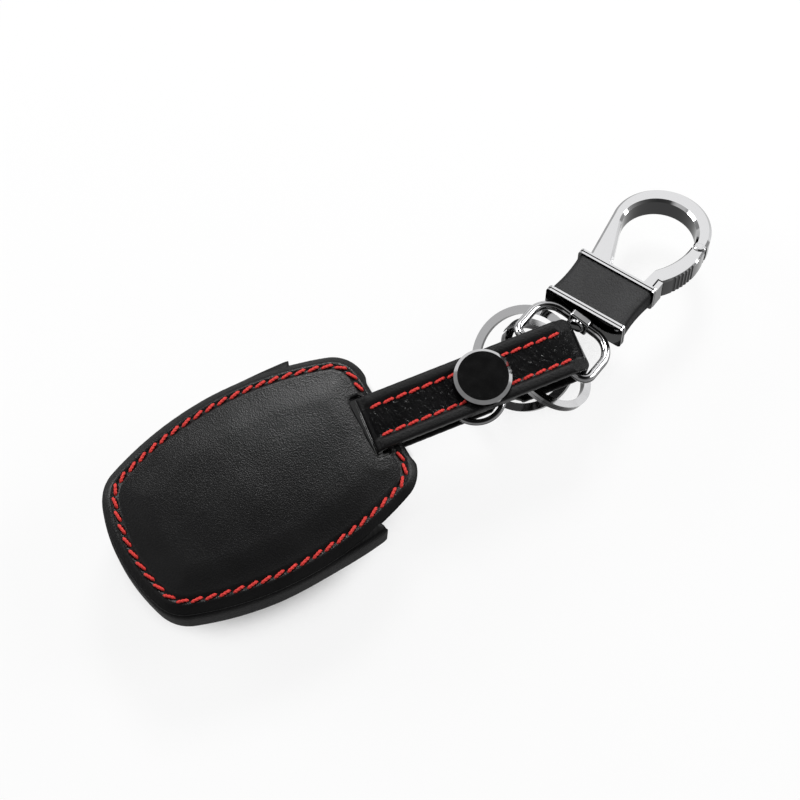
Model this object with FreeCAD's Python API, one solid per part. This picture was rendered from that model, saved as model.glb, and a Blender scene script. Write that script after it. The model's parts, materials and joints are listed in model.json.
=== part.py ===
"""Leather key fob cover with a strap, a snap, split rings and a swivel clasp, in millimetres.

The pouch lies on its moulded front with the stitched back panel up, its mouth towards +X.
The origin is the centre of the face that it rests on.
"""
import FreeCAD
import Part
import math
import os
from FreeCAD import Placement, Rotation, Vector

# Pouch: the back panel, its lining and the moulded front shell
pouch_length = 62.4
pouch_width = 43.0
pouch_height = 17.0
widest_share = 0.52
closed_end_radius = 37.0
side_radius = 74.0
closed_corner_radius = 8.0
mouth_corner_radius = 7.5
panel_thickness = 1.4
panel_edge_radius = 0.6
lining_thickness = 1.0
lining_inset = 0.5
shell_wall = 1.6
shell_bulge = 1.1
shell_front_radius = 6.2
shell_rim_radius = 2.4
shell_flange_width = 5.2
shell_flange_thickness = 1.2
shell_side_radius = 190.0
shell_ear_inset = 11.2
shell_mouth_depth = 5.0

# Slot of the panel and the bridge that it leaves at the mouth
bridge_width = 3.0
slot_width = 2.9
slot_length = 14.4
slot_angle = -3.0
slot_end_radius = 0.6

# Red seam round the panel and along the strap
stitch_inset = 2.0
stitch_strap_gap = 0.6
stitch_pitch = 2.95
stitch_length = 2.45
stitch_width = 0.85
stitch_height = 0.45
stitch_top_share = 0.7
panel_stitch_slant = 17.0
strap_stitch_slant = 7.0

# Strap: an upper leg, a fold round the shackle, a leg that returns below and a tab under the bridge
strap_angle = -7.2
strap_offset = -1.14
strap_width = 12.5
strap_thickness = 1.2
strap_clearance = 0.35
strap_past_snap = 23.4
strap_corner_radius = 2.4
edge_roll_width = 2.4
edge_roll_height = 0.6
edge_roll_radius = 0.5
fold_gap = 5.2
pocket_length = 12.0
pocket_ramp = 2.7
return_past_snap = 6.6
tab_past_snap = 4.6
tab_tip_width = 6.0
tab_taper_length = 4.6
bend_gap = 0.3
strap_seam_inset = 3.0
strap_seam_margin = 2.2

# Snap fastener
snap_reach = 23.05
cap_diameter = 12.5
cap_height = 1.9
cap_bevel = 0.75
cap_post_diameter = 3.0
socket_diameter = 8.0
socket_neck_diameter = 5.0
socket_bore_diameter = 3.6
stud_diameter = 3.1
stud_clearance = 0.25
eyelet_diameter = 8.4
eyelet_height = 0.5
eyelet_edge_radius = 0.2
seat_gap = 0.02

# Small ring that hangs on the snap's neck
small_ring_diameter = 13.6
small_ring_wire = 1.4
small_ring_gap = 0.15
small_ring_angle = -140.0

# Shackle that the strap folds round, and its swivel post
bar_setback = 7.2
bar_drop = 1.5
bar_to_collar = 12.8
shackle_wire = 2.0
shackle_half_width = 9.5
shackle_corner_radius = 2.0
shackle_shoulder_radius = 5.2
hub_width = 5.0
hub_height = 4.2
hub_length = 2.15
hub_edge_radius = 0.5
collar_gap = 0.35
post_diameter = 2.4
post_depth = 6.0
post_head_diameter = 3.6
post_head_height = 0.6
running_gap = 0.05

# Clasp: a casting with two collars, a leather sleeve, a hook and a sprung gate
clasp_yaw = 22.2
clasp_pitch = 12.5
clasp_roll = -11.0
collar_width = 19.7
collar_depth = 6.3
collar_thickness = 1.3
collar_corner_radius = 0.9
collar_groove = 0.3
waist_length = 11.5
sleeve_inset = 0.35
sleeve_waist_inset = 0.8
sleeve_thickness = 0.8
sleeve_corner_radius = 1.3
hook_depth = 5.4
hook_chamfer = 0.6
hook_outer_radius = 11.3
hook_inner_radius = 8.5
hook_inner_reach = 23.4
hook_head = 3.8
hook_offset = -1.1
arm_root_outer = 7.5
arm_root_inner = 1.7
arm_outer_angle = 104.0
arm_inner_angle = 112.0
hook_tip_angle = 10.0
nose_outer_angle = -84.0
nose_inner_angle = -80.0
pin_ahead = 0.4
pin_offset = -10.9
pin_diameter = 1.4
knuckle_radius = 1.45
knuckle_gap = 0.3
tongue_thickness = 2.3
tongue_gap = 0.25
gate_foot_gap = 0.3
gate_foot_inner = -6.2
gate_heel_inner = -6.6
gate_heel_height = 5.0
gate_foot_thickness = 2.15
gate_step_height = 2.8
gate_inner_sag = 1.1
gate_outer_sag = 1.5
gate_chamfer = 0.4
stop_height = 2.5
stop_thickness = 1.15
serration_count = 6
serration_radius = 0.35
serration_first_share = 0.2
serration_step_share = 0.075
spring_wire = 0.3
spring_diameter = 1.3
spring_length = 1.7
spring_turns = 4
spring_gap = 0.1

# Split key rings: the right one passes through the strap's fold, the left one through the right one
ring_diameter = 23.6
ring_band = 1.8
ring_coil = 0.7
ring_coil_gap = 0.08
ring_turns = 1.9
right_ring_setback = 7.13
right_ring_offset = 0.76
right_ring_height = 8.52
right_ring_yaw = 6.3
right_ring_tilt = 39.8
left_ring_setback = 10.38
left_ring_offset = 4.52
left_ring_height = 5.93
left_ring_yaw = -172.0
left_ring_tilt = 23.8

overrun = 2.0

X = Vector(1, 0, 0)
Y = Vector(0, 1, 0)
Z = Vector(0, 0, 1)

# Places that follow from the sizes above
panel_top = pouch_height
lining_top = panel_top - panel_thickness
lining_bottom = lining_top - lining_thickness
mouth_x = pouch_length / 2
closed_x = -pouch_length / 2
widest_x = closed_x + widest_share * pouch_length
bridge_x = mouth_x - bridge_width / 2
slot_from_bridge = (bridge_width + slot_width) / 2

leg_under = panel_top + strap_clearance
leg_top = leg_under + strap_thickness
roll_top = leg_top + edge_roll_height
tab_top = lining_bottom - strap_clearance
tab_bottom = tab_top - strap_thickness
bend_left = -slot_from_bridge - strap_thickness / 2
bend_right = bend_left + strap_thickness
split_z = (leg_under + tab_top + bend_gap) / 2
tab_hinge_z = split_z - bend_gap - strap_thickness / 2
tab_end = snap_reach + tab_past_snap
fold_radius = fold_gap / 2
strap_reach = snap_reach + strap_past_snap
fold_x = strap_reach - strap_thickness - fold_radius
pocket_x = fold_x - pocket_length
pocket_z = leg_under - fold_radius
return_under = leg_under - strap_thickness
return_end = snap_reach - return_past_snap
bar_x = strap_reach - bar_setback
boss_radius = strap_width / 2 - edge_roll_width - strap_clearance

collar_top = 2 * collar_thickness + waist_length
hook_x = collar_top + hook_inner_reach + hook_head - hook_outer_radius
hole_x = collar_top + hook_inner_reach - hook_inner_radius
pin_x = hook_x + pin_ahead
hub_back = -collar_gap - hub_length

STRAP_FRAME = Placement(Vector(bridge_x, strap_offset, 0), Rotation(Z, strap_angle))
BAR_FRAME = STRAP_FRAME * Placement(
    Vector(bar_x, 0, leg_under - bar_drop), Rotation(clasp_yaw - strap_angle, clasp_pitch, 0))
SHACKLE_FRAME = BAR_FRAME * Placement(Vector(bar_to_collar, 0, 0), Rotation())
CLASP_FRAME = SHACKLE_FRAME * Placement(Vector(), Rotation(X, clasp_roll))
RIGHT_RING_FRAME = STRAP_FRAME * Placement(
    Vector(strap_reach - right_ring_setback, right_ring_offset, right_ring_height),
    Rotation(right_ring_yaw, right_ring_tilt, 0))
LEFT_RING_FRAME = STRAP_FRAME * Placement(
    Vector(strap_reach - left_ring_setback, left_ring_offset, left_ring_height),
    Rotation(left_ring_yaw, left_ring_tilt, 0))


def closed_wire(start, steps):
    """Closed wire from start: a step is the end of a line, or a pair (through, end) for an arc."""
    edges = []
    here = start
    for step in list(steps) + [start]:
        if isinstance(step, tuple):
            edges.append(Part.Arc(here, step[0], step[1]).toShape())
            here = step[1]
        elif not step.isEqual(here, seat_gap):
            edges.append(Part.LineSegment(here, step).toShape())
            here = step
    return Part.Wire(edges)


def across(wire, width):
    """Solid of a wire in the XZ plane, extruded evenly to both sides along Y."""
    solid = Part.Face(wire).extrude(Y * width)
    solid.translate(Y * (-width / 2))
    return solid


def upright(wire, low, high):
    """Solid of a wire in the XY plane, from one height to another."""
    solid = Part.Face(wire).extrude(Z * (high - low))
    solid.translate(Z * low)
    return solid


def disc(radius, low, high, centre=Vector()):
    """Upright cylinder between two heights."""
    return Part.makeCylinder(radius, high - low, Vector(centre.x, centre.y, low), Z)


def block(x_low, x_high, width, depth, radius):
    """Box along X with its four long edges rounded."""
    box = Part.makeBox(x_high - x_low, width, depth, Vector(x_low, -width / 2, -depth / 2))
    long_edges = [e for e in box.Edges if round(abs(e.tangentAt(e.FirstParameter).x))]
    return box.makeFillet(radius, long_edges)


def edges_at(solid, height):
    """Edges that lie wholly at one height."""
    found = []
    for edge in solid.Edges:
        box = edge.BoundBox
        if abs(box.ZMin - height) < seat_gap and abs(box.ZMax - height) < seat_gap:
            found.append(edge)
    return found


def edges_above(solid, point):
    """Upright edges over a point of the XY plane."""
    found = []
    for edge in solid.Edges:
        offsets = [Vector(v.X - point.x, v.Y - point.y, 0).Length for v in edge.Vertexes]
        if len(offsets) == 2 and max(offsets) < seat_gap:
            found.append(edge)
    return found


def circles_meet(first, first_radius, second, second_radius):
    """Leftmost point where two circles of the XY plane cross."""
    line = second - first
    along = (first_radius ** 2 - second_radius ** 2 + line.Length ** 2) / (2 * line.Length)
    aside = math.sqrt(first_radius ** 2 - along ** 2)
    unit = line / line.Length
    square = Vector(-unit.y, unit.x, 0)
    crossings = [first + unit * along + square * aside, first + unit * along - square * aside]
    return min(crossings, key=lambda point: point.x)


def upper_arc_point(centre, radius, x):
    """Point at a given x on the upper half of a circle."""
    return Vector(x, centre.y + math.sqrt(radius ** 2 - (x - centre.x) ** 2), 0)


def polar(centre, radius, degrees):
    """Point of a circle in the XY plane."""
    turn = math.radians(degrees)
    return centre + Vector(math.cos(turn), math.sin(turn), 0) * radius


def mirrored(point):
    """The same point on the other side of the pouch's axis."""
    return Vector(point.x, -point.y, point.z)


def pouch_prism(low, high, grow, mouth_side_radius):
    """Upright prism of the barrel-shaped pouch outline, grown outwards."""
    half = pouch_width / 2 + grow
    end_radius = closed_end_radius + grow
    near_radius = side_radius + grow
    far_radius = mouth_side_radius + grow
    apex = Vector(closed_x - grow, 0, 0)
    end_centre = apex + X * end_radius
    near_centre = Vector(widest_x, half - near_radius, 0)
    far_centre = Vector(widest_x, half - far_radius, 0)
    corner = circles_meet(end_centre, end_radius, near_centre, near_radius)
    widest = Vector(widest_x, half, 0)
    mouth = upper_arc_point(far_centre, far_radius, mouth_x + grow)
    near_mid = upper_arc_point(near_centre, near_radius, (corner.x + widest_x) / 2)
    far_mid = upper_arc_point(far_centre, far_radius, (mouth.x + widest_x) / 2)
    outline = closed_wire(mirrored(corner), [
        (apex, corner), (near_mid, widest), (far_mid, mouth), mirrored(mouth),
        (mirrored(far_mid), mirrored(widest)), (mirrored(near_mid), mirrored(corner))])
    prism = upright(outline, low, high)
    for point, radius in ((corner, closed_corner_radius), (mouth, mouth_corner_radius)):
        both = edges_above(prism, point) + edges_above(prism, mirrored(point))
        prism = prism.makeFillet(radius + grow, both)
    return prism


def front_shell():
    """Moulded front with rounded walls, turned in under the panel and cut back to two ears."""
    cavity_top = lining_bottom - shell_flange_thickness
    outer = pouch_prism(0, lining_bottom, shell_bulge, shell_side_radius)
    outer = outer.makeFillet(shell_front_radius, edges_at(outer, 0))
    outer = outer.makeFillet(shell_rim_radius, edges_at(outer, lining_bottom))
    cavity = pouch_prism(shell_wall, cavity_top, shell_bulge - shell_wall, shell_side_radius)
    cavity = cavity.makeFillet(shell_front_radius - shell_wall, edges_at(cavity, shell_wall))
    opening = pouch_prism(cavity_top - shell_flange_thickness, lining_bottom + overrun,
                          -shell_flange_width, side_radius)
    half = pouch_width / 2 + shell_bulge
    cut_radius = (half ** 2 + shell_mouth_depth ** 2) / (2 * shell_mouth_depth)
    cut_centre = Vector(mouth_x - shell_ear_inset - shell_mouth_depth + cut_radius, 0, 0)
    mouth_cut = disc(cut_radius, -overrun, lining_bottom + overrun, cut_centre)
    return outer.cut(cavity).cut(opening).cut(mouth_cut)


def slot_cut():
    """Slot through the panel and its lining, with rounded ends."""
    slot = Part.makeBox(slot_width, slot_length, panel_top + overrun,
                        Vector(-slot_width / 2, -slot_length / 2, 0))
    slot = slot.makeFillet(slot_end_radius, [e for e in slot.Edges if len(edges_at(e, 0)) == 0
                                             and len(edges_at(e, panel_top + overrun)) == 0])
    centre = STRAP_FRAME.multVec(Vector(-slot_from_bridge, 0, 0))
    slot.Placement = Placement(Vector(centre.x, centre.y, 0), Rotation(Z, slot_angle))
    return slot


def back_panel():
    """Outer leather of the back with an eased top edge."""
    panel = pouch_prism(lining_top, panel_top, 0, side_radius)
    panel = panel.makeFillet(panel_edge_radius, edges_at(panel, panel_top))
    return panel.cut(slot_cut())


def panel_lining():
    """Lining behind the panel, drawn in a little from its edge."""
    return pouch_prism(lining_bottom, lining_top, -lining_inset, side_radius).cut(slot_cut())


def stitch():
    """One stitch along X that lies on the leather and slopes down at both ends."""
    half = stitch_length / 2
    top = half * stitch_top_share
    return across(closed_wire(Vector(-half, 0, 0), [
        Vector(half, 0, 0), Vector(top, 0, stitch_height), Vector(-top, 0, stitch_height)]), stitch_width)


def laid(shape, place, degrees):
    """Copy of a shape turned about Z and moved."""
    copy = shape.copy()
    copy.Placement = Placement(place, Rotation(Z, degrees)) * copy.Placement
    return copy


def panel_stitches():
    """Seam round the panel, left out where the strap covers it."""
    prism = pouch_prism(lining_top, panel_top, -stitch_inset, side_radius)
    seam = Part.Wire(Part.__sortEdges__(edges_at(prism, panel_top)))
    points = seam.discretize(round(seam.Length / stitch_pitch) + 1)[:-1]
    single = stitch()
    covered = strap_width / 2 + stitch_length / 2 + stitch_strap_gap
    stitches = []
    for index, point in enumerate(points):
        ahead = points[(index + 1) % len(points)] - points[index - 1]
        degrees = math.degrees(math.atan2(ahead.y, ahead.x)) + panel_stitch_slant
        in_strap = STRAP_FRAME.inverse().multVec(point)
        hidden = in_strap.x > bend_left and abs(in_strap.y) < covered
        if not hidden:
            stitches.append(laid(single, point, degrees))
    return Part.makeCompound(stitches)


def strap_band():
    """Upper leg with rolled edges, its bend into the slot, the fold and the leg that returns."""
    bend_mid = Vector(bend_right, 0, leg_under) + Vector(-1, 0, 1).normalize() * strap_thickness
    fold_low = pocket_z - fold_radius
    profile = closed_wire(Vector(bend_left, 0, split_z), [
        Vector(bend_left, 0, leg_under),
        (bend_mid, Vector(bend_right, 0, leg_top)),
        Vector(fold_x, 0, leg_top),
        (Vector(strap_reach, 0, pocket_z), Vector(fold_x, 0, fold_low - strap_thickness)),
        Vector(pocket_x, 0, fold_low - strap_thickness),
        Vector(pocket_x - pocket_ramp, 0, return_under),
        Vector(return_end, 0, return_under),
        Vector(return_end, 0, leg_under),
        Vector(bend_right, 0, leg_under),
        Vector(bend_right, 0, split_z)])
    pocket = closed_wire(Vector(fold_x, 0, leg_under), [
        (Vector(fold_x + fold_radius, 0, pocket_z), Vector(fold_x, 0, fold_low)),
        Vector(pocket_x, 0, fold_low),
        Vector(pocket_x - pocket_ramp, 0, leg_under)])
    band = across(profile, strap_width).cut(across(pocket, strap_width + overrun))
    for side in (-1, 1):
        band = band.fuse(edge_roll(side))
    plan = Part.makeBox(2 * strap_reach, strap_width, roll_top, Vector(-strap_reach, -strap_width / 2, 0))
    ends = [e for s in (-1, 1) for e in edges_above(plan, Vector(strap_reach, s * strap_width / 2, 0))]
    band = band.common(plan.makeFillet(strap_corner_radius, ends))
    band = band.cut(disc(cap_post_diameter / 2 + seat_gap, leg_under - overrun, roll_top, Vector(snap_reach)))
    socket_radius = socket_diameter / 2 + seat_gap
    band = band.cut(disc(socket_radius, return_under - overrun, leg_under, Vector(snap_reach)))
    return band.removeSplitter()


def edge_roll(side):
    """Rolled edge that stands up along one side of the upper leg."""
    middle = side * (strap_width - edge_roll_width) / 2
    roll = Part.makeBox(fold_x - bend_right, edge_roll_width, roll_top - leg_under,
                        Vector(bend_right, middle - edge_roll_width / 2, leg_under))
    return roll.makeFillet(edge_roll_radius, edges_at(roll, roll_top))


def strap_tab():
    """Lower leg from its hinge in the slot to a tapered end under the snap."""
    bend_mid = Vector(bend_right, 0, tab_top) + Vector(-1, 0, -1).normalize() * strap_thickness
    hinge_top = Vector((bend_left + bend_right) / 2, 0, tab_hinge_z + strap_thickness / 2)
    profile = closed_wire(Vector(bend_left, 0, tab_hinge_z), [
        (hinge_top, Vector(bend_right, 0, tab_hinge_z)),
        Vector(bend_right, 0, tab_top),
        Vector(tab_end, 0, tab_top),
        Vector(tab_end, 0, tab_bottom),
        Vector(bend_right, 0, tab_bottom),
        (bend_mid, Vector(bend_left, 0, tab_top))])
    shoulder = tab_end - tab_taper_length
    half = strap_width / 2
    tip = tab_tip_width / 2
    plan = closed_wire(Vector(bend_left, -half, 0), [
        Vector(shoulder, -half, 0), Vector(tab_end, -tip, 0), Vector(tab_end, tip, 0),
        Vector(shoulder, half, 0), Vector(bend_left, half, 0)])
    tab = across(profile, strap_width).common(upright(plan, 0, roll_top))
    return tab.cut(disc(stud_diameter / 2 + seat_gap, 0, roll_top, Vector(snap_reach)))


def strap_stitches():
    """Two rows of stitches on the upper leg, left out at the boss of the snap's cap."""
    single = stitch()
    first = bend_right + strap_seam_margin
    count = int((fold_x + stitch_length / 2 - first) / stitch_pitch) + 1
    stitches = []
    for side in (-1, 1):
        for index in range(count):
            place = Vector(first + index * stitch_pitch, side * (strap_width / 2 - strap_seam_inset), leg_top)
            from_snap = math.hypot(place.x - snap_reach, place.y)
            if from_snap > boss_radius + stitch_length / 2:
                stitches.append(laid(single, place, strap_stitch_slant))
    return Part.makeCompound(stitches)


def snap_cap():
    """Bevelled cap over the rolled edges, with a boss on the channel and a post."""
    centre = Vector(snap_reach)
    cap = disc(cap_diameter / 2, roll_top, roll_top + cap_height, centre)
    cap = cap.makeChamfer(cap_bevel, edges_at(cap, roll_top + cap_height))
    cap = cap.fuse(disc(boss_radius, leg_top, roll_top, centre))
    return cap.fuse(disc(cap_post_diameter / 2, return_under + seat_gap, leg_top, centre)).removeSplitter()


def snap_socket():
    """Socket set in the returning leg, with a neck that the small ring hangs on."""
    centre = Vector(snap_reach)
    bottom = tab_top + stud_clearance
    socket = disc(socket_diameter / 2, return_under, leg_under, centre)
    socket = socket.fuse(disc(socket_neck_diameter / 2, bottom, return_under, centre))
    socket = socket.cut(disc(socket_bore_diameter / 2, bottom, return_under, centre))
    return socket.cut(disc(cap_post_diameter / 2 + seat_gap, return_under, leg_under, centre))


def snap_stud():
    """Stud through the tab and its eyelet, up into the socket."""
    top = return_under - stud_clearance
    stud = disc(stud_diameter / 2, tab_bottom - eyelet_height, top, Vector(snap_reach))
    return stud.makeFillet(eyelet_edge_radius, edges_at(stud, top))


def snap_eyelet():
    """Flat washer of the snap below the tab."""
    low = tab_bottom - eyelet_height
    eyelet = disc(eyelet_diameter / 2, low, tab_bottom, Vector(snap_reach))
    eyelet = eyelet.makeFillet(eyelet_edge_radius, edges_at(eyelet, low))
    return eyelet.cut(disc(stud_diameter / 2 + seat_gap, low, tab_bottom, Vector(snap_reach)))


def small_ring():
    """Round wire ring that rests against the snap's neck."""
    wire_radius = small_ring_wire / 2
    middle_radius = small_ring_diameter / 2 - wire_radius
    swing = middle_radius - wire_radius - socket_neck_diameter / 2 - small_ring_gap
    centre = polar(Vector(snap_reach, 0, (tab_top + return_under) / 2), swing, small_ring_angle)
    return Part.makeTorus(middle_radius, wire_radius, centre, Z)


def shackle():
    """Wire loop with a straight bar for the strap and a hub for the swivel."""
    hub_middle = -collar_gap - hub_length / 2
    bar = -bar_to_collar
    half = shackle_half_width
    shoulder = shackle_shoulder_radius
    corner = shackle_corner_radius
    shoulder_mid = polar(Vector(hub_middle - shoulder, half - shoulder, 0), shoulder, 45)
    corner_mid = polar(Vector(bar + corner, half - corner, 0), corner, 135)
    path = closed_wire(Vector(hub_middle, shoulder - half, 0), [
        Vector(hub_middle, half - shoulder, 0),
        (shoulder_mid, Vector(hub_middle - shoulder, half, 0)),
        Vector(bar + corner, half, 0),
        (corner_mid, Vector(bar, half - corner, 0)),
        Vector(bar, corner - half, 0),
        (mirrored(corner_mid), Vector(bar + corner, -half, 0)),
        Vector(hub_middle - shoulder, -half, 0),
        (mirrored(shoulder_mid), Vector(hub_middle, shoulder - half, 0))])
    section = Part.Wire(Part.makeCircle(shackle_wire / 2, Vector(hub_middle, shoulder - half, 0), Y))
    loop = path.makePipeShell([section], True, False)
    hub = Part.makeBox(hub_length, hub_width, hub_height, Vector(hub_back, -hub_width / 2, -hub_height / 2))
    hub = hub.makeFillet(hub_edge_radius, hub.Edges)
    bore = Part.makeCylinder(post_diameter / 2 + running_gap, hub_length + overrun,
                             Vector(hub_back - overrun / 2), X)
    return loop.fuse(hub).cut(bore)


def swivel_post():
    """Rivet through the hub with a domed head inside the loop."""
    head_x = hub_back - running_gap
    post = Part.makeCylinder(post_diameter / 2, post_depth - head_x, Vector(head_x), X)
    head = Part.makeCylinder(post_head_diameter / 2, post_head_height, Vector(head_x - post_head_height), X)
    rim = [e for e in head.Edges if abs(e.BoundBox.XMax - (head_x - post_head_height)) < seat_gap]
    return post.fuse(head.makeFillet(post_head_height - seat_gap, rim)).removeSplitter()


def collar(x_low):
    """Flat collar with a groove round its edge."""
    plate = block(x_low, x_low + collar_thickness, collar_width, collar_depth, collar_corner_radius)
    middle = x_low + collar_thickness / 2
    span = (middle - collar_groove / 2, middle + collar_groove / 2)
    around = Part.makeBox(collar_groove, 2 * collar_width, 2 * collar_depth,
                          Vector(span[0], -collar_width, -collar_depth))
    kept = block(span[0], span[1], collar_width - 2 * collar_groove, collar_depth - 2 * collar_groove,
                 collar_corner_radius)
    return plate.cut(around.cut(kept))


def hook():
    """Flat hook: a tapered arm, a round bow and a nose that ends at the gate's pin."""
    bow = Vector(hook_x, hook_offset, 0)
    hole = Vector(hole_x, hook_offset, 0)
    root_x = collar_top - collar_thickness / 2
    arm_out = polar(bow, hook_outer_radius, arm_outer_angle)
    arm_in = polar(hole, hook_inner_radius, arm_inner_angle)
    outline = closed_wire(Vector(root_x, arm_root_outer, 0), [
        arm_out,
        (polar(bow, hook_outer_radius, hook_tip_angle), polar(bow, hook_outer_radius, nose_outer_angle)),
        polar(hole, hook_inner_radius, nose_inner_angle),
        (polar(hole, hook_inner_radius, hook_tip_angle), arm_in),
        Vector(root_x, arm_root_inner, 0)])
    prism = upright(outline, -hook_depth / 2, hook_depth / 2)
    rims = edges_at(prism, hook_depth / 2) + edges_at(prism, -hook_depth / 2)
    bow_rims = [e for e in rims if e.Length > hook_inner_radius]
    return prism.makeChamfer(hook_chamfer, bow_rims)


def hook_body():
    """Casting of the two collars, the core under the sleeve, the hook and the gate's stop."""
    pin = Vector(pin_x, pin_offset, 0)
    half = hook_depth / 2
    slot_half = tongue_thickness / 2 + tongue_gap
    core_inset = sleeve_inset + sleeve_thickness
    core = block(0, collar_top, collar_width - 2 * core_inset, collar_depth - 2 * core_inset,
                 sleeve_corner_radius - sleeve_thickness)
    stop = Part.makeBox(collar_thickness / 2 + stop_height, stop_thickness, hook_depth,
                        Vector(collar_top - collar_thickness / 2, -collar_width / 2, -half))
    ears = disc(knuckle_radius, -half, half, pin)
    ears = ears.makeChamfer(gate_chamfer, edges_at(ears, half) + edges_at(ears, -half))
    body = core.fuse([collar(0), collar(collar_top - collar_thickness), hook(), ears, stop])
    body = body.cut(disc(knuckle_radius + knuckle_gap, -slot_half, slot_half, pin))
    body = body.cut(disc(pin_diameter / 2 + seat_gap, -half, half, pin))
    body = body.cut(Part.makeCylinder(post_diameter / 2 + seat_gap, post_depth + seat_gap, Vector(), X))
    return body.cut(spring_bore()).removeSplitter()


def spring_bore():
    """Blind bore in the nose for the gate's spring."""
    reach = knuckle_radius + knuckle_gap + spring_length
    return Part.makeCylinder(spring_diameter / 2 + spring_gap, reach, Vector(pin_x, pin_offset, 0), X)


def waist_leather():
    """Leather sleeve round the core, drawn in a little between the collars."""
    low = collar_thickness
    high = low + waist_length
    sections = []
    for x, inset in ((low, sleeve_inset), ((low + high) / 2, sleeve_waist_inset), (high, sleeve_inset)):
        slab = block(x, x + overrun, collar_width - 2 * inset, collar_depth - 2 * sleeve_inset,
                     sleeve_corner_radius)
        face = min(slab.Faces, key=lambda f: f.CenterOfMass.x)
        sections.append(face.OuterWire)
    outside = Part.makeLoft(sections, True, False)
    core_inset = sleeve_inset + sleeve_thickness - seat_gap
    inside = block(low - overrun, high + overrun, collar_width - 2 * core_inset,
                   collar_depth - 2 * core_inset, sleeve_corner_radius - sleeve_thickness)
    return outside.cut(inside)


def gate():
    """Sprung gate: a tongue on the pin, a thumb grip outside and a foot behind the stop."""
    pin = Vector(pin_x, pin_offset, 0)
    half = hook_depth / 2
    foot_x = collar_top + gate_foot_gap
    foot_outer = gate_foot_inner - gate_foot_thickness
    step_x = collar_top + gate_step_height
    heel = Vector(collar_top + gate_heel_height, gate_heel_inner, 0)
    step_out = Vector(step_x, -collar_width / 2, 0)
    knuckle_out = pin - Y * knuckle_radius
    knuckle_in = pin + Y * knuckle_radius
    outer_mid = (step_out + knuckle_out) / 2 - Y * gate_outer_sag
    inner_mid = (heel + knuckle_in) / 2 - Y * gate_inner_sag
    outline = closed_wire(Vector(foot_x, gate_foot_inner, 0), [
        Vector(foot_x, foot_outer, 0),
        Vector(step_x, foot_outer, 0),
        step_out,
        (outer_mid, knuckle_out),
        (pin + X * knuckle_radius, knuckle_in),
        (inner_mid, heel)])
    body = upright(outline, -half, half)
    rims = edges_at(body, half) + edges_at(body, -half)
    body = body.makeChamfer(gate_chamfer, [e for e in rims if e.Length > gate_heel_height])
    for low, high in ((-half - overrun, -tongue_thickness / 2), (tongue_thickness / 2, half + overrun)):
        body = body.cut(disc(knuckle_radius + knuckle_gap, low, high, pin))
    body = body.cut(disc(pin_diameter / 2 + running_gap, -half, half, pin))
    outer_arc = Part.Arc(step_out, outer_mid, knuckle_out).toShape()
    for index in range(serration_count):
        share = serration_first_share + index * serration_step_share
        place = outer_arc.valueAt(outer_arc.FirstParameter + share * (
            outer_arc.LastParameter - outer_arc.FirstParameter))
        body = body.cut(disc(serration_radius, -half - overrun, half + overrun, place))
    return body


def gate_pin():
    """Pin through the nose's ears and the gate's tongue."""
    return disc(pin_diameter / 2, -hook_depth / 2, hook_depth / 2, Vector(pin_x, pin_offset, 0))


def gate_spring():
    """Small compression spring between the nose and the gate's tongue."""
    coil_radius = (spring_diameter - spring_wire) / 2
    rise = spring_length - spring_wire - spring_gap
    helix = Part.makeHelix(rise / spring_turns, rise, coil_radius)
    section = Part.Wire(Part.makeCircle(spring_wire / 2, Vector(coil_radius, 0, 0), Y))
    spring = Part.Wire(helix).makePipeShell([section], True, True)
    start = pin_x + knuckle_radius + knuckle_gap + spring_wire / 2
    spring.Placement = Placement(Vector(start, pin_offset, 0), Rotation(Z, X))
    return spring


def key_ring():
    """Flat split ring of nearly two turns about Z."""
    pitch = ring_coil + ring_coil_gap
    radius = (ring_diameter - ring_band) / 2
    helix = Part.makeHelix(pitch, ring_turns * pitch, radius)
    half_band = ring_band / 2
    half_coil = ring_coil / 2
    section = closed_wire(Vector(radius - half_band, 0, -half_coil), [
        Vector(radius + half_band, 0, -half_coil), Vector(radius + half_band, 0, half_coil),
        Vector(radius - half_band, 0, half_coil)])
    ring = Part.Wire(helix).makePipeShell([section], True, True)
    ring.translate(Z * (-ring_turns * pitch / 2))
    return ring


def placed(shape, frame):
    """Copy of a shape moved from its own frame into the part's."""
    copy = shape.copy()
    copy.Placement = frame * copy.Placement
    return copy


def build():
    """Every node of the part by name, in the part's frame."""
    nodes = {
        "front_shell": front_shell(),
        "back_panel": back_panel(),
        "panel_lining": panel_lining(),
        "panel_stitches": panel_stitches(),
    }
    for make in (strap_band, strap_tab, strap_stitches,
                 snap_cap, snap_socket, snap_stud, snap_eyelet, small_ring):
        nodes[make.__name__] = placed(make(), STRAP_FRAME)
    nodes["shackle"] = placed(shackle(), SHACKLE_FRAME)
    for make in (swivel_post, hook_body, waist_leather, gate, gate_pin, gate_spring):
        nodes[make.__name__] = placed(make(), CLASP_FRAME)
    nodes["key_ring_right"] = placed(key_ring(), RIGHT_RING_FRAME)
    nodes["key_ring_left"] = placed(key_ring(), LEFT_RING_FRAME)
    return nodes


NODES = build()
os.makedirs("parts", exist_ok=True)
for name, shape in NODES.items():
    shape.exportStep("parts/" + name + ".step")
    print(name, len(shape.Solids), shape.isValid(), round(shape.Volume, 1))
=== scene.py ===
"""Looks of the leather key fob cover: leather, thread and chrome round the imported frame, in metres."""
import json
import math

import bmesh
import bpy
from mathutils import Matrix, Vector, noise
from mathutils.kdtree import KDTree

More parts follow.
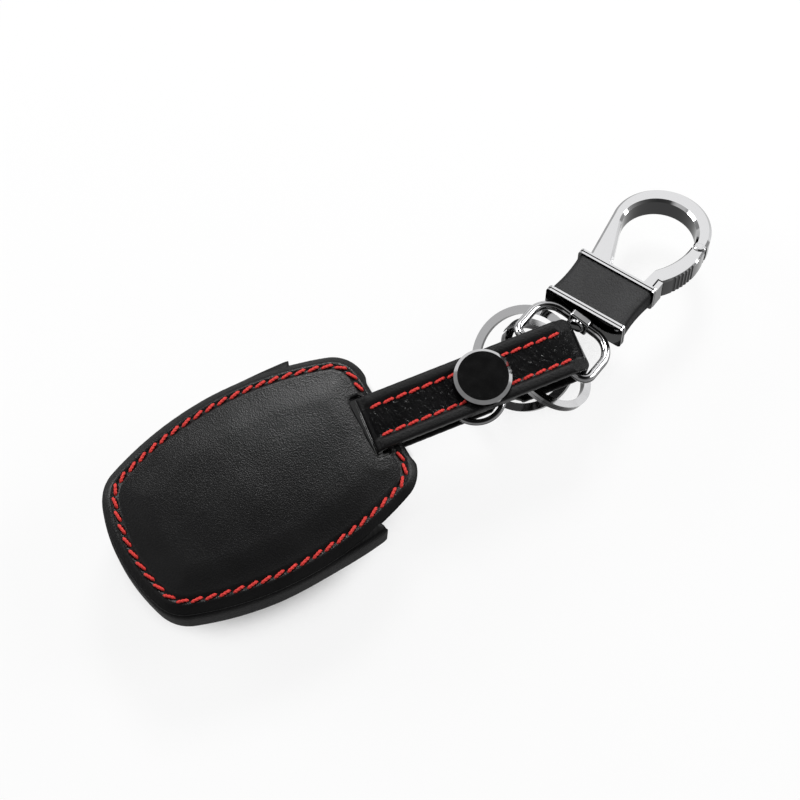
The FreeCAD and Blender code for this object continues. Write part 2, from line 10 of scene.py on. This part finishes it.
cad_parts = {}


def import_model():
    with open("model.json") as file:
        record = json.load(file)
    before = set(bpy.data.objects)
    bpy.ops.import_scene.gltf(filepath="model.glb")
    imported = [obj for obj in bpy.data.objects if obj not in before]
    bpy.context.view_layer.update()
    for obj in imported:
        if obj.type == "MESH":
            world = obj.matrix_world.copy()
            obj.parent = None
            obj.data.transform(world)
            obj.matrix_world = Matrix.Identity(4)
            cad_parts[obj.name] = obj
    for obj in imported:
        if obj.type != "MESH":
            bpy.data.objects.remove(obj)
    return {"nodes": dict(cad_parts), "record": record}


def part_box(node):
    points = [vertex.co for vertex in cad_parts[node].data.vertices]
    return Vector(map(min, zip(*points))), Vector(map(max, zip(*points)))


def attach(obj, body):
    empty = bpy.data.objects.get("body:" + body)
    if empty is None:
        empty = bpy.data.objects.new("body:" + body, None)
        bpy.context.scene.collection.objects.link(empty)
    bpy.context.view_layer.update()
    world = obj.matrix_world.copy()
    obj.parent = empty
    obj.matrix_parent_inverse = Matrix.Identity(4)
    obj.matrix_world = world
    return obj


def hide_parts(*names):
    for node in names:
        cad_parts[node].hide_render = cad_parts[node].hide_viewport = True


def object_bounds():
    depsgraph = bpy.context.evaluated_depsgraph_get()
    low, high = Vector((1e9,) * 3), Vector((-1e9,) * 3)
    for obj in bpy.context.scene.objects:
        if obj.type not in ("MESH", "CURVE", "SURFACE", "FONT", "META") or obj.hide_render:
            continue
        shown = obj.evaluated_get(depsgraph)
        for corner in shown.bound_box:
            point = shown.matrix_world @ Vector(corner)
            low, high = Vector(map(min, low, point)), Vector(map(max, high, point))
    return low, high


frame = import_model()
cad_low, cad_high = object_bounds()

MM = 0.001
Z = Vector((0, 0, 1))

# Camera of the photograph, looking down on the cover; angles in degrees
CAMERA_AZIMUTH = -34.36
CAMERA_ELEVATION = 72.0
CAMERA_ROLL = 4.49
CAMERA_DISTANCE = 407.9 * MM
CAMERA_TARGET = Vector((36.8, 3.2, 9.0)) * MM
CAMERA_FIELD = 24.0
CAMERA_NEAR = 0.01

# Floor: half its side, the share of its own white, and its drop, which clears the clasp at every pose
FLOOR_HALF = 3.0
FLOOR_GLOW = 0.88
FLOOR_DROP = 7.5 * MM

# Shade on the floor: its reach and the open shares between which it fades
SHADE_REACH = 32.0 * MM
SHADE_OPEN = (0.38, 0.62)
SHADE_SAMPLES = 24

# Painted shade: a dark spot of the floor that the panel's slot shows, and the floor's tones in it and
# outside it
SLOT_SHADE = Vector((30.8, 5.5, 0)) * MM
SLOT_SHADE_HALF = (2.8 * MM, 8.6 * MM)
SLOT_SHADE_FADE = 2.5 * MM
FLOOR_TONES = (0.04, 0.9)

# Lamps: name, place, width and length, and power in watts
LAMPS = (
    ("key", (-0.4, 0.6, 0.36), (0.45, 0.3), 3.0),
    ("side", (0.62, -0.12, 0.36), (0.3, 0.45), 2.4),
    ("sheen", (0.29, 0.37, 0.53), (0.18, 0.18), 2.4),
)
LAMP_AIM = Vector((0.03, 0, 0.01))

# Room: (height, level) stops, from the sides to overhead, and its strength
ROOM_STOPS = ((0.0, 0.9), (0.4, 0.7), (0.72, 0.2), (0.9, 0.012))
ROOM_STRENGTH = 0.4

# Directions and levels of the pale screens that the hook's face and the left ring show, and their soft edge
PALE_SCREENS = (
    (Vector((0.38, 0.68, 0.63)).normalized(), 2.2),
    (Vector((-0.59, 0.25, 0.77)).normalized(), 1.25),
)
SCREEN_EDGE = (0.9, 0.97)

# Grained leather: fine creases over the grain, clouds of wear, and painted shade on the sides, which keep a
# share of the gloss
FINE_RATIO = 2.6
FINE_DETAIL = 3.0
FINE_BUMP = (0.25, 0.05 * MM)
GRAIN_STRENGTH = 0.6
CLOUD_SCALE = 90.0
CLOUD_DETAIL = 3.0
CLOUD_STOPS = (0.3, 0.75)
ROUGHNESS_BAND = (-0.07, 0.1)
SIDE_SHADE_GLOSS_SHARE = 0.06
SIDE_SHADE_FROM = (0.6, 0.95)

# Strap leather: a glossy channel between the seams with creases across it, and matt grained edges
CHANNEL_EDGE = (3.2 * MM, 3.7 * MM)
CREASE_STRETCH = (1.0, 0.42, 1.0)
CREASE_SCALE = 1300.0
CREASE_DETAIL = 2.0
CREASE_WARP = 0.8
EDGE_GRAIN_SCALE = 2600.0
EDGE_GRAIN_SHARE = 0.3
STRAP_ROUGHNESS = (0.5, 0.19)
STRAP_CLOUD_SCALE = 160.0
STRAP_TONES = ((0.3, (0.003, 0.003, 0.0032)), (0.8, (0.008, 0.008, 0.0084)))
STRAP_BUMP = (0.9, 0.16 * MM)
STRAP_GLOSS = 0.2

# Thread: red fibres
FIBRE_SCALE = 5200.0
FIBRE_DETAIL = 3.0
FIBRE_WARP = 0.6
FIBRE_TONES = ((0.25, (0.42, 0.012, 0.012)), (0.75, (0.9, 0.07, 0.055)))
FIBRE_ROUGHNESS = (0.5, 0.75)
FIBRE_BUMP = (0.5, 0.06 * MM)
FIBRE_GLOSS = 0.3

# Metal: hazy wear, slow ripples, and painted shade on the flanks, which keep a share of the colour
HAZE_SCALE = 420.0
HAZE_DETAIL = 5.0
HAZE_WARP = 0.3
WEAR = 0.05
RIPPLE_SCALE = 130.0
RIPPLE_DETAIL = 2.0
RIPPLE_BUMP = (0.12, 0.08 * MM)
FLANK_SHADE_SHARE = 0.05
FLANK_SHADE_STOPS = (0.45, 0.85)
FLANK_SHADE_HAZE = 0.06

# Woven lining: the weave and its fuzz
WEAVE_SCALE = 2600.0
WEAVE_BUMP = (0.4, 0.06 * MM)
FUZZ_SCALE = 1500.0
FUZZ_DETAIL = 4.0
FUZZ_STOPS = (0.3, 0.7)
FUZZ_BUMP = (0.3, 0.08 * MM)
LINING_ROUGHNESS = (0.8, 0.95)
LINING_SHEEN = 0.2

# Soft copies: voxel and rounds of smoothing of each, and the strength of a round
SHELL_SKIN = (0.5 * MM, 6)
PANEL_SKIN = (0.32 * MM, 4)
LINING_SKIN = (0.32 * MM, 3)
STRAP_SKIN = (0.3 * MM, 5)
SLEEVE_SKIN = (0.3 * MM, 4)
EASE = 0.5

# Swells of worked leather: depth, and cells per metre
SHELL_SWELL = (0.12 * MM, 90)
PANEL_SWELL = (0.09 * MM, 120)
LINING_SWELL = (0.06 * MM, 140)

# Panel's outline: sampling, and the slot's edges in the strap's frame, which are left out
WELD = 0.001 * MM
LEVEL = 0.05 * MM
SHARP_ANGLE = 1
OUTLINE_STEP = 0.25 * MM
SLOT_PLACE = -2.95 * MM
SLOT_MARGIN = 2.2 * MM
SLOT_REACH = 12 * MM

# Panel's sewn face: a seam, a dropped edge, a crown and a dome, above a share of its thickness
SEAM_INSET = 2.0 * MM
SEAM_WIDTH = 0.95 * MM
SEAM_DEPTH = 0.42 * MM
EDGE_DROP = 0.55 * MM
EDGE_REACH = 1.5 * MM
CROWN_RISE = 0.5 * MM
CROWN_REACH = 8.0 * MM
DOME_RISE = 0.9 * MM
FACE_SHARE = 0.3

# Panel's edge, draped over the shell except at the strap, and the shell's rim, drawn up to it
DRAPE_OUT = 0.75 * MM
DRAPE_DOWN = 0.8 * MM
DRAPE_REACH = 1.6 * MM
DRAPE_END = 19.5 * MM
DRAPE_FADE = 2.0 * MM
DRAPE_STRAP_GAP = 9.0 * MM
RIM_RISE = 1.1 * MM
RIM_START = 10.5 * MM
RIM_HEIGHT = 3.5 * MM
RIM_INSIDE = 0.9 * MM
RIM_FADE = 0.8 * MM

# Stitch: two plies that twist and dip into the leather at both ends
STITCH_LENGTH = 2.85 * MM
STITCH_RADIUS = 0.34 * MM
STITCH_FLATNESS = 0.85
STITCH_RISE = 0.34 * MM
STITCH_DIP = 0.55 * MM
STITCH_DIP_POWER = 4
STITCH_TIP = 0.02 * MM
STITCH_TIP_POWER = 5
STITCH_RINGS = 26
STITCH_SIDES = 16
STITCH_SHORT_SHARE = 0.6
PLY_DEPTH = 0.32
PLY_TURNS = 1.9
PANEL_SEAM_SINK = 0.3 * MM
STRAP_SEAM_SINK = 0.12 * MM


def joint(name):
    """Place and axis of one joint of the frame."""
    found = next(j for j in frame["record"]["behaviour"]["joints"] if j["name"] == name)
    return Vector(found["pos_m"]), Vector(found["axis"]).normalized()


bridge, strap_left = joint("strap_swing")
strap_along = strap_left.cross(Z).normalized()
STRAP_MATRIX = Matrix.Translation((bridge.x, bridge.y, 0)) @ Matrix(
    (strap_along, strap_left, Z)).transposed().to_4x4()
STRAP_INVERSE = STRAP_MATRIX.inverted()


class Nodes:
    """Small helper that adds and links the nodes of one material."""

    def __init__(self, name):
        self.material = bpy.data.materials.new(name)
        self.material.use_nodes = True
        self.tree = self.material.node_tree
        self.shader = self.tree.nodes["Principled BSDF"]

    def add(self, kind, inputs=None, **settings):
        """Add a node, set its properties and link or set its inputs."""
        node = self.tree.nodes.new(kind)
        for key, value in settings.items():
            setattr(node, key, value)
        for key, value in (inputs or {}).items():
            self.put(node.inputs[key], value)
        return node

    def put(self, socket, value):
        """Link a socket to an output, or set its value."""
        if isinstance(value, bpy.types.NodeSocket):
            self.tree.links.new(value, socket)
        else:
            socket.default_value = value

    def shade(self, **inputs):
        """Set inputs of the shader by name, with underscores for spaces."""
        for key, value in inputs.items():
            self.put(self.shader.inputs[key.replace("_", " ")], value)

    def ramp(self, factor, stops):
        """Colour ramp through (place, colour) stops."""
        node = self.add("ShaderNodeValToRGB", {"Fac": factor})
        fill_ramp(node.color_ramp, stops)
        return node.outputs["Color"]

    def math(self, operation, *values):
        """Result of a math node."""
        return self.add("ShaderNodeMath", dict(enumerate(values)), operation=operation).outputs[0]

    def spread(self, factor, low, high, start=0.0, end=1.0):
        """Map a factor from start..end to low..high."""
        return self.add("ShaderNodeMapRange", {
            "Value": factor, "From Min": start, "From Max": end,
            "To Min": low, "To Max": high}).outputs["Result"]

    def noise(self, vector, scale, detail, distortion=0.0):
        """Noise value at a scale in cells per metre."""
        return self.add("ShaderNodeTexNoise", {
            "Vector": vector, "Scale": scale, "Detail": detail, "Distortion": distortion}).outputs["Fac"]

    def cells(self, vector, scale):
        """Distance of a cell pattern."""
        return self.add("ShaderNodeTexVoronoi", {"Vector": vector, "Scale": scale}).outputs["Distance"]

    def bump(self, height, strength, distance, normal=None):
        """Bump normal, on top of another one where given."""
        inputs = {"Height": height, "Strength": strength, "Distance": distance}
        if normal is not None:
            inputs["Normal"] = normal
        return self.add("ShaderNodeBump", inputs).outputs["Normal"]

    def place(self):
        """The piece's own coordinates."""
        return self.add("ShaderNodeTexCoord").outputs["Object"]

    def upward(self):
        """How far a face looks up: one at the top, zero at a wall."""
        normal = self.add("ShaderNodeNewGeometry").outputs["Normal"]
        return self.add("ShaderNodeSeparateXYZ", {"Vector": normal}).outputs["Z"]


def fill_ramp(ramp, stops):
    """Give a colour ramp its (place, colour) stops."""
    while len(ramp.elements) < len(stops):
        ramp.elements.new(0.5)
    for element, (place, colour) in zip(ramp.elements, stops):
        element.position = place
        element.color = (*colour, 1)


def leather(name, dark, pale, roughness, gloss, grain_scale, grain_depth):
    """Grained leather: rounded cells with fine creases, clouded wear, and painted shade that dims the gloss
    of its sides.
    """
    n = Nodes(name)
    where = n.place()
    grain = n.cells(where, grain_scale)
    fine = n.noise(where, grain_scale * FINE_RATIO, FINE_DETAIL)
    cloud = n.noise(where, CLOUD_SCALE, CLOUD_DETAIL)
    grained = n.bump(grain, GRAIN_STRENGTH, grain_depth)
    n.shade(Base_Color=n.ramp(cloud, tuple(zip(CLOUD_STOPS, (dark, pale)))),
            Roughness=n.spread(fine, *(roughness + step for step in ROUGHNESS_BAND)),
            Normal=n.bump(fine, *FINE_BUMP, grained),
            # Painted shade: faces that turn away from up keep only a share of the gloss
            Specular_IOR_Level=n.spread(n.upward(), gloss * SIDE_SHADE_GLOSS_SHARE, gloss, *SIDE_SHADE_FROM))
    return n.material


def strap_leather(name):
    """Strap: matt rolled edges and a glossier channel between the seams, with fine creases across it."""
    n = Nodes(name)
    where = n.place()
    turned = n.add("ShaderNodeMapping", {
        "Vector": where, "Rotation": STRAP_INVERSE.to_euler(),
        "Location": STRAP_INVERSE.translation}).outputs["Vector"]
    split = n.add("ShaderNodeSeparateXYZ", {"Vector": turned})
    channel = n.spread(n.math("ABSOLUTE", split.outputs["Y"]), 1.0, 0.0, *CHANNEL_EDGE)
    across = n.add("ShaderNodeMapping", {"Vector": turned, "Scale": CREASE_STRETCH}).outputs["Vector"]
    crease = n.noise(across, CREASE_SCALE, CREASE_DETAIL, CREASE_WARP)
    grain = n.spread(n.cells(where, EDGE_GRAIN_SCALE), 0.0, EDGE_GRAIN_SHARE)
    height = n.add("ShaderNodeMix", {0: channel, 2: grain, 3: crease}).outputs[0]
    n.shade(Base_Color=n.ramp(n.noise(where, STRAP_CLOUD_SCALE, CLOUD_DETAIL), STRAP_TONES),
            Roughness=n.spread(channel, *STRAP_ROUGHNESS), Normal=n.bump(height, *STRAP_BUMP),
            Specular_IOR_Level=STRAP_GLOSS)
    return n.material


def thread(name):
    """Twisted red thread with fibres along it."""
    n = Nodes(name)
    fibre = n.noise(n.place(), FIBRE_SCALE, FIBRE_DETAIL, FIBRE_WARP)
    n.shade(Base_Color=n.ramp(fibre, FIBRE_TONES), Roughness=n.spread(fibre, *FIBRE_ROUGHNESS),
            Normal=n.bump(fibre, *FIBRE_BUMP), Specular_IOR_Level=FIBRE_GLOSS)
    return n.material


def metal(name, colour, rough):
    """Plated metal with slight ripples and fine hazy wear, and painted shade that darkens its flanks."""
    n = Nodes(name)
    where = n.place()
    haze = n.noise(where, HAZE_SCALE, HAZE_DETAIL, HAZE_WARP)
    ripple = n.noise(where, RIPPLE_SCALE, RIPPLE_DETAIL)
    # Painted shade: faces that turn away from up take a darker colour
    flank_shade_factor = n.math("ADD", n.upward(), n.spread(haze, -FLANK_SHADE_HAZE, FLANK_SHADE_HAZE))
    painted_flank_shade = tuple(FLANK_SHADE_SHARE * c for c in colour)
    n.shade(Base_Color=n.ramp(flank_shade_factor, tuple(zip(FLANK_SHADE_STOPS, (painted_flank_shade, colour)))), Metallic=1.0,
            Roughness=n.spread(haze, rough, rough + WEAR), Normal=n.bump(ripple, *RIPPLE_BUMP))
    return n.material


def woven(name, dark, pale):
    """Fine woven lining."""
    n = Nodes(name)
    where = n.place()
    weave = n.add("ShaderNodeTexChecker", {"Vector": where, "Scale": WEAVE_SCALE}).outputs["Fac"]
    fuzz = n.noise(where, FUZZ_SCALE, FUZZ_DETAIL)
    n.shade(Base_Color=n.ramp(fuzz, tuple(zip(FUZZ_STOPS, (dark, pale)))),
            Roughness=n.spread(fuzz, *LINING_ROUGHNESS),
            Normal=n.bump(weave, *WEAVE_BUMP, n.bump(fuzz, *FUZZ_BUMP)), Sheen_Weight=LINING_SHEEN)
    return n.material


PANEL_LEATHER = leather(
    "panel leather", dark=(0.004, 0.004, 0.0042), pale=(0.0085, 0.0085, 0.0088),
    roughness=0.32, gloss=0.34, grain_scale=3300.0, grain_depth=0.06 * MM)
SHELL_LEATHER = leather(
    "shell leather", dark=(0.004, 0.004, 0.0042), pale=(0.009, 0.009, 0.0092),
    roughness=0.55, gloss=0.35, grain_scale=1900.0, grain_depth=0.12 * MM)
SLEEVE_LEATHER = leather(
    "sleeve leather", dark=(0.012, 0.012, 0.0125), pale=(0.024, 0.024, 0.025),
    roughness=0.5, gloss=0.27, grain_scale=2600.0, grain_depth=0.12 * MM)
STRAP_LEATHER = strap_leather("strap leather")
LINING = woven("lining", dark=(0.016, 0.016, 0.017), pale=(0.03, 0.03, 0.031))
THREAD = thread("red thread")
CHROME = metal("chrome", colour=(0.84, 0.84, 0.85), rough=0.05)
RING_STEEL = metal("plated ring", colour=(0.78, 0.78, 0.79), rough=0.08)
SPRING_STEEL = metal("spring wire", colour=(0.55, 0.55, 0.56), rough=0.22)


def dress(obj, material):
    """Give an object one material and smooth faces."""
    obj.data.materials.clear()
    obj.data.materials.append(material)
    for face in obj.data.polygons:
        face.use_smooth = True


def added(name, data):
    """New object in the scene."""
    obj = bpy.data.objects.new(name, data)
    bpy.context.scene.collection.objects.link(obj)
    return obj


def welded(node):
    """Form of a CAD node with its shared corners joined."""
    form = bmesh.new()
    form.from_mesh(frame["nodes"][node].data)
    bmesh.ops.remove_doubles(form, verts=form.verts, dist=WELD)
    return form


def soft_copy(name, node, skin):
    """Copy of a soft CAD solid, remeshed into an even skin and eased at its edges."""
    voxel, rounds = skin
    obj = added(name, frame["nodes"][node].data.copy())
    remesh = obj.modifiers.new("skin", "REMESH")
    remesh.mode = "VOXEL"
    remesh.voxel_size = voxel
    ease = obj.modifiers.new("ease", "SMOOTH")
    ease.factor = EASE
    ease.iterations = rounds
    graph = bpy.context.evaluated_depsgraph_get()
    mesh = bpy.data.meshes.new_from_object(obj.evaluated_get(graph))
    obj.modifiers.clear()
    obj.data = mesh
    return obj


def panel_outline():
    """Points along the panel's own outer edge, without its slot."""
    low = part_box("back_panel")[0].z
    form = welded("back_panel")
    points = []
    for edge in form.edges:
        a, b = (v.co for v in edge.verts)
        if max(a.z, b.z) > low + LEVEL or len(edge.link_faces) != 2 or edge.calc_face_angle() < SHARP_ANGLE:
            continue
        near_slot = (STRAP_INVERSE @ ((a + b) / 2)).xy.length < SLOT_REACH
        if near_slot and abs((STRAP_INVERSE @ a).x - SLOT_PLACE) < SLOT_MARGIN:
            continue
        count = max(1, int((b - a).length / OUTLINE_STEP))
        points += [a.lerp(b, i / count) for i in range(count)]
    form.free()
    tree = KDTree(len(points))
    for index, point in enumerate(points):
        tree.insert((point.x, point.y, 0), index)
    tree.balance()
    return tree


def bell(value, width):
    """Smooth bump of height one at zero that ends at the width."""
    t = min(1.0, abs(value) / width)
    return (1 - t * t) ** 2


def rise(value, reach):
    """Smooth step from zero to one over a reach."""
    t = max(0.0, min(1.0, value / reach))
    return t * t * (3 - 2 * t)


def sew_panel(obj):
    """Drape the panel's edge over the shell, sink its seam and crown its middle."""
    outline = panel_outline()
    low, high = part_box("back_panel")
    thick = high.z - low.z
    swell, swell_scale = PANEL_SWELL
    for vertex in obj.data.vertices:
        near, _, away = outline.find((vertex.co.x, vertex.co.y, 0))
        beside = rise(abs((STRAP_INVERSE @ vertex.co).y) - DRAPE_STRAP_GAP, DRAPE_FADE)
        over_shell = 1 - rise(vertex.co.x - DRAPE_END, DRAPE_FADE)
        drape = (1 - rise(away, DRAPE_REACH)) * max(beside, over_shell)
        share = max(0.0, min(1.0, (vertex.co.z - low.z) / thick))
        vertex.co += (near.normalized() * DRAPE_OUT - Z * DRAPE_DOWN) * drape
        if share < FACE_SHARE:
            continue
        lift = CROWN_RISE * rise(away - SEAM_INSET, CROWN_REACH)
        lift += DOME_RISE * bell(vertex.co.x, high.x) * bell(vertex.co.y, high.y)
        lift -= SEAM_DEPTH * bell(away - SEAM_INSET, SEAM_WIDTH)
        lift -= EDGE_DROP * (1 - rise(away, EDGE_REACH))
        lift += swell * noise.noise(vertex.co * swell_scale)
        vertex.co.z += lift * share


def raise_rim(obj):
    """Draw the shell's outer rim up to the panel's edge, so that only a crease is left."""
    outline = panel_outline()
    for vertex in obj.data.vertices:
        near = outline.find((vertex.co.x, vertex.co.y, 0))[0]
        outward = Vector((vertex.co.x - near.x, vertex.co.y - near.y)).dot(near.xy.normalized())
        outer = rise(outward + RIM_INSIDE, RIM_FADE)
        vertex.co.z += RIM_RISE * outer * rise(vertex.co.z - RIM_START, RIM_HEIGHT)


def waver(obj, depth, scale):
    """Small uneven swells of hand-worked leather."""
    normals = [vertex.normal.copy() for vertex in obj.data.vertices]
    for vertex, normal in zip(obj.data.vertices, normals):
        vertex.co += normal * depth * noise.noise(vertex.co * scale)


def groups(form):
    """Points of each separate solid of a form."""
    seen = set()
    for start in form.verts:
        if start in seen:
            continue
        group, queue = [], [start]
        seen.add(start)
        while queue:
            here = queue.pop()
            group.append(here.co.copy())
            for edge in here.link_edges:
                other = edge.other_vert(here)
                if other not in seen:
                    seen.add(other)
                    queue.append(other)
        yield group


def islands(node):
    """Middle and long direction of each separate solid of a stitch node."""
    form = welded(node)
    found = []
    for group in groups(form):
        middle = sum(group, Vector()) / len(group)
        low = min(p.z for p in group)
        foot = [p for p in group if p.z < low + LEVEL]
        ways = [a - b for a in foot for b in foot]
        long_way = max(ways, key=lambda d: d.length)
        across = next(d for d in ways if 0 < d.length < STITCH_SHORT_SHARE * long_way.length).normalized()
        along = (long_way - across * long_way.dot(across)).normalized()
        if along.x < 0:
            along = -along
        found.append((Vector((middle.x, middle.y, low)), along))
    form.free()
    return found


def stitches(name, node, sink):
    """All stitches of a seam as twisted thread that dips into the leather at both ends."""
    form = bmesh.new()
    for middle, along in islands(node):
        side = Z.cross(along)
        rings = []
        for i in range(STITCH_RINGS + 1):
            t = 2 * i / STITCH_RINGS - 1
            girth = STITCH_RADIUS * (1 - abs(t) ** STITCH_TIP_POWER) ** 0.5 + STITCH_TIP
            centre = middle + along * (t * STITCH_LENGTH / 2)
            centre += Z * (STITCH_RISE - sink - STITCH_DIP * t ** STITCH_DIP_POWER)
            ring = []
            for k in range(STITCH_SIDES):
                angle = 2 * math.pi * k / STITCH_SIDES
                ply = 1 - PLY_DEPTH * (1 - abs(math.cos(angle - math.pi * PLY_TURNS * t)))
                spoke = side * math.cos(angle) + Z * math.sin(angle) * STITCH_FLATNESS
                ring.append(form.verts.new(centre + spoke * girth * ply))
            rings.append(ring)
        for first, second in zip(rings, rings[1:]):
            for k in range(STITCH_SIDES):
                form.faces.new((first[k], first[k - 1], second[k - 1], second[k]))
        form.faces.new(rings[0])
        form.faces.new(rings[-1][::-1])
    bmesh.ops.recalc_face_normals(form, faces=form.faces)
    mesh = bpy.data.meshes.new(name)
    form.to_mesh(mesh)
    form.free()
    return added(name, mesh)


def stand_for(obj, node, body, material):
    """Dress a piece, let it ride a body and take a CAD node's place."""
    dress(obj, material)
    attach(obj, body)
    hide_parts(node)


shell = soft_copy("moulded_shell", "front_shell", SHELL_SKIN)
raise_rim(shell)
waver(shell, *SHELL_SWELL)
stand_for(shell, "front_shell", "pouch", SHELL_LEATHER)

panel = soft_copy("sewn_panel", "back_panel", PANEL_SKIN)
sew_panel(panel)
stand_for(panel, "back_panel", "pouch", PANEL_LEATHER)

lining = soft_copy("lining_sheet", "panel_lining", LINING_SKIN)
waver(lining, *LINING_SWELL)
stand_for(lining, "panel_lining", "pouch", LINING)

band = soft_copy("strap_leather", "strap_band", STRAP_SKIN)
stand_for(band, "strap_band", "strap", STRAP_LEATHER)

tab = soft_copy("tab_leather", "strap_tab", STRAP_SKIN)
stand_for(tab, "strap_tab", "tab", STRAP_LEATHER)

sleeve = soft_copy("waist_sleeve", "waist_leather", SLEEVE_SKIN)
stand_for(sleeve, "waist_leather", "clasp", SLEEVE_LEATHER)

panel_seam = stitches("panel_seam", "panel_stitches", PANEL_SEAM_SINK)
stand_for(panel_seam, "panel_stitches", "pouch", THREAD)

strap_seam = stitches("strap_seam", "strap_stitches", STRAP_SEAM_SINK)
stand_for(strap_seam, "strap_stitches", "strap", THREAD)

for node in ("snap_cap", "snap_socket", "snap_stud", "snap_eyelet", "shackle", "swivel_post",
             "hook_body", "gate", "gate_pin"):
    dress(frame["nodes"][node], CHROME)
for node in ("small_ring", "key_ring_left", "key_ring_right"):
    dress(frame["nodes"][node], RING_STEEL)
dress(frame["nodes"]["gate_spring"], SPRING_STEEL)


def white_floor():
    """Floor material that shows itself white, shaded below the object, with a spot of painted shade where
    the slot shows it.
    """
    n = Nodes("white floor")
    path = n.add("ShaderNodeLightPath").outputs
    shown = n.math("ADD", path["Is Camera Ray"], path["Is Glossy Ray"])
    shown = n.math("ADD", shown, path["Is Transmission Ray"])
    sky = n.add("ShaderNodeAmbientOcclusion", {"Distance": SHADE_REACH}, samples=SHADE_SAMPLES)
    lit = n.spread(sky.outputs["AO"], 0.0, FLOOR_GLOW, *SHADE_OPEN)
    offset = n.add("ShaderNodeVectorMath", {0: n.place(), 1: SLOT_SHADE}, operation="SUBTRACT")
    apart = n.add("ShaderNodeVectorMath", {0: offset.outputs["Vector"]}, operation="ABSOLUTE")
    sides = n.add("ShaderNodeSeparateXYZ", {"Vector": apart.outputs["Vector"]})
    past = [n.spread(sides.outputs[axis], 0.0, 1.0, reach, reach + SLOT_SHADE_FADE)
            for axis, reach in zip("XY", SLOT_SHADE_HALF)]
    clear = n.math("MAXIMUM", *past)
    own_white = n.math("MULTIPLY", shown, n.math("MULTIPLY", clear, lit))
    # Painted shade: the floor's matt colour goes dark in the slot's spot
    matt = n.add("ShaderNodeBsdfDiffuse", {"Color": n.spread(clear, *FLOOR_TONES)})
    glow = n.add("ShaderNodeEmission", {"Strength": 1.0})
    mix = n.add("ShaderNodeMixShader", {0: own_white, 1: matt.outputs[0], 2: glow.outputs[0]})
    n.put(n.tree.nodes["Material Output"].inputs["Surface"], mix.outputs[0])
    return n.material


def floor():
    """White floor that keeps a soft shadow."""
    half = FLOOR_HALF
    corners = [(-half, -half, 0), (half, -half, 0), (half, half, 0), (-half, half, 0)]
    mesh = bpy.data.meshes.new("floor")
    mesh.from_pydata(corners, [], [(0, 1, 2, 3)])
    obj = added("floor", mesh)
    obj.location.z = cad_low.z - FLOOR_DROP
    obj.data.materials.append(white_floor())


def lamp(name, place, size, power):
    """Soft box that faces the object."""
    data = bpy.data.lights.new(name, "AREA")
    data.shape = "RECTANGLE"
    data.size, data.size_y = size
    data.energy = power
    obj = added(name, data)
    obj.location = place
    obj.rotation_mode = "QUATERNION"
    obj.rotation_quaternion = (LAMP_AIM - obj.location).to_track_quat("-Z", "Y")


def world():
    """Room that is pale at the sides and dark overhead, with two pale screens, as metal shows it."""
    made = bpy.data.worlds.new("studio")
    bpy.context.scene.world = made
    made.use_nodes = True
    tree = made.node_tree
    towards = tree.nodes.new("ShaderNodeTexCoord").outputs["Generated"]
    split = tree.nodes.new("ShaderNodeSeparateXYZ")
    ramp = tree.nodes.new("ShaderNodeValToRGB")
    fill_ramp(ramp.color_ramp, [(height, (level,) * 3) for height, level in ROOM_STOPS])
    tree.links.new(towards, split.inputs[0])
    tree.links.new(split.outputs["Z"], ramp.inputs["Fac"])
    seen = ramp.outputs["Color"]
    for direction, level in PALE_SCREENS:
        facing = tree.nodes.new("ShaderNodeVectorMath")
        facing.operation = "DOT_PRODUCT"
        facing.inputs[1].default_value = direction
        tree.links.new(towards, facing.inputs[0])
        screen = tree.nodes.new("ShaderNodeMapRange")
        screen.inputs["From Min"].default_value, screen.inputs["From Max"].default_value = SCREEN_EDGE
        screen.inputs["To Max"].default_value = level
        tree.links.new(facing.outputs["Value"], screen.inputs["Value"])
        brighter = tree.nodes.new("ShaderNodeMath")
        brighter.operation = "MAXIMUM"
        tree.links.new(seen, brighter.inputs[0])
        tree.links.new(screen.outputs["Result"], brighter.inputs[1])
        seen = brighter.outputs[0]
    background = tree.nodes["Background"]
    tree.links.new(seen, background.inputs["Color"])
    background.inputs["Strength"].default_value = ROOM_STRENGTH


def camera():
    """Camera at the photograph's viewing angle."""
    azimuth, elevation, roll = (math.radians(a) for a in (CAMERA_AZIMUTH, CAMERA_ELEVATION, CAMERA_ROLL))
    back = Vector((math.sin(azimuth) * math.cos(elevation), -math.cos(azimuth) * math.cos(elevation),
                   math.sin(elevation)))
    level = Vector((math.cos(azimuth), math.sin(azimuth), 0))
    right = level * math.cos(roll) + back.cross(level) * math.sin(roll)
    data = bpy.data.cameras.new("camera")
    data.angle = math.radians(CAMERA_FIELD)
    data.clip_start = CAMERA_NEAR
    obj = added("camera", data)
    obj.matrix_world = Matrix.Translation(CAMERA_TARGET + back * CAMERA_DISTANCE) @ Matrix(
        (right, back.cross(right), back)).transposed().to_4x4()
    bpy.context.scene.camera = obj


floor()
world()
for settings in LAMPS:
    lamp(*settings)
camera()
bpy.context.scene.view_settings.view_transform = "Standard"
